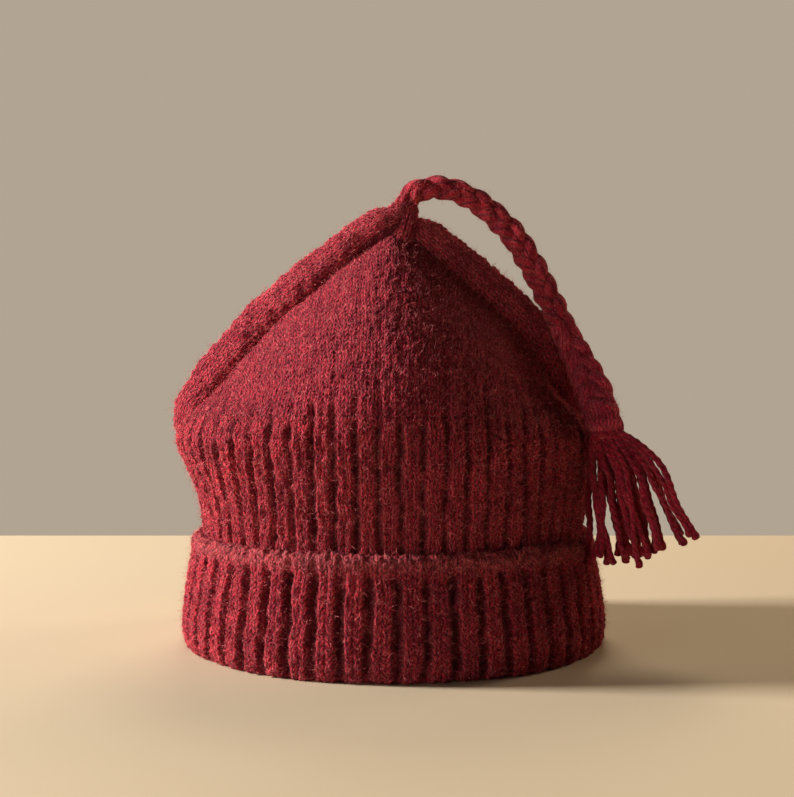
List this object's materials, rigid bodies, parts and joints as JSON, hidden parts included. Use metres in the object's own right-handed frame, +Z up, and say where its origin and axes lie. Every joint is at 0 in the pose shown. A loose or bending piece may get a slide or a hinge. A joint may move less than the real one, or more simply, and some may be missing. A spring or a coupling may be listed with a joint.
{
  "type": "knit hat",
  "caption": "Ribbed wool hat with a turned-up cuff, a pointed crown with a roll along each side seam, and a plaited cord ending in a tassel.",
  "frame": {"origin": "Middle of the hat's outline, cord and tassel left out, on the surface that the cuff rests on.", "axes": "+Z up through the peak, -Y towards the front, +X towards the side where the cord hangs"},
  "size_m": [0.2451, 0.2034, 0.2254],
  "materials": {
    "ribbed_wool": "two by two ribbed wool, brushed, with a halo of loose fibres",
    "plain_wool": "plain knitted wool, brushed, with a halo of loose fibres",
    "cord_wool": "three-strand plait of wool yarn",
    "tassel_wool": "loose strands of plied wool yarn"
  },
  "bodies": {
    "root": {"cuff": "ribbed_wool", "body": "ribbed_wool", "crown": "plain_wool", "seam_roll_left": "plain_wool", "seam_roll_right": "plain_wool", "cord": "cord_wool", "tassel": "tassel_wool"}
  },
  "joints": []
}
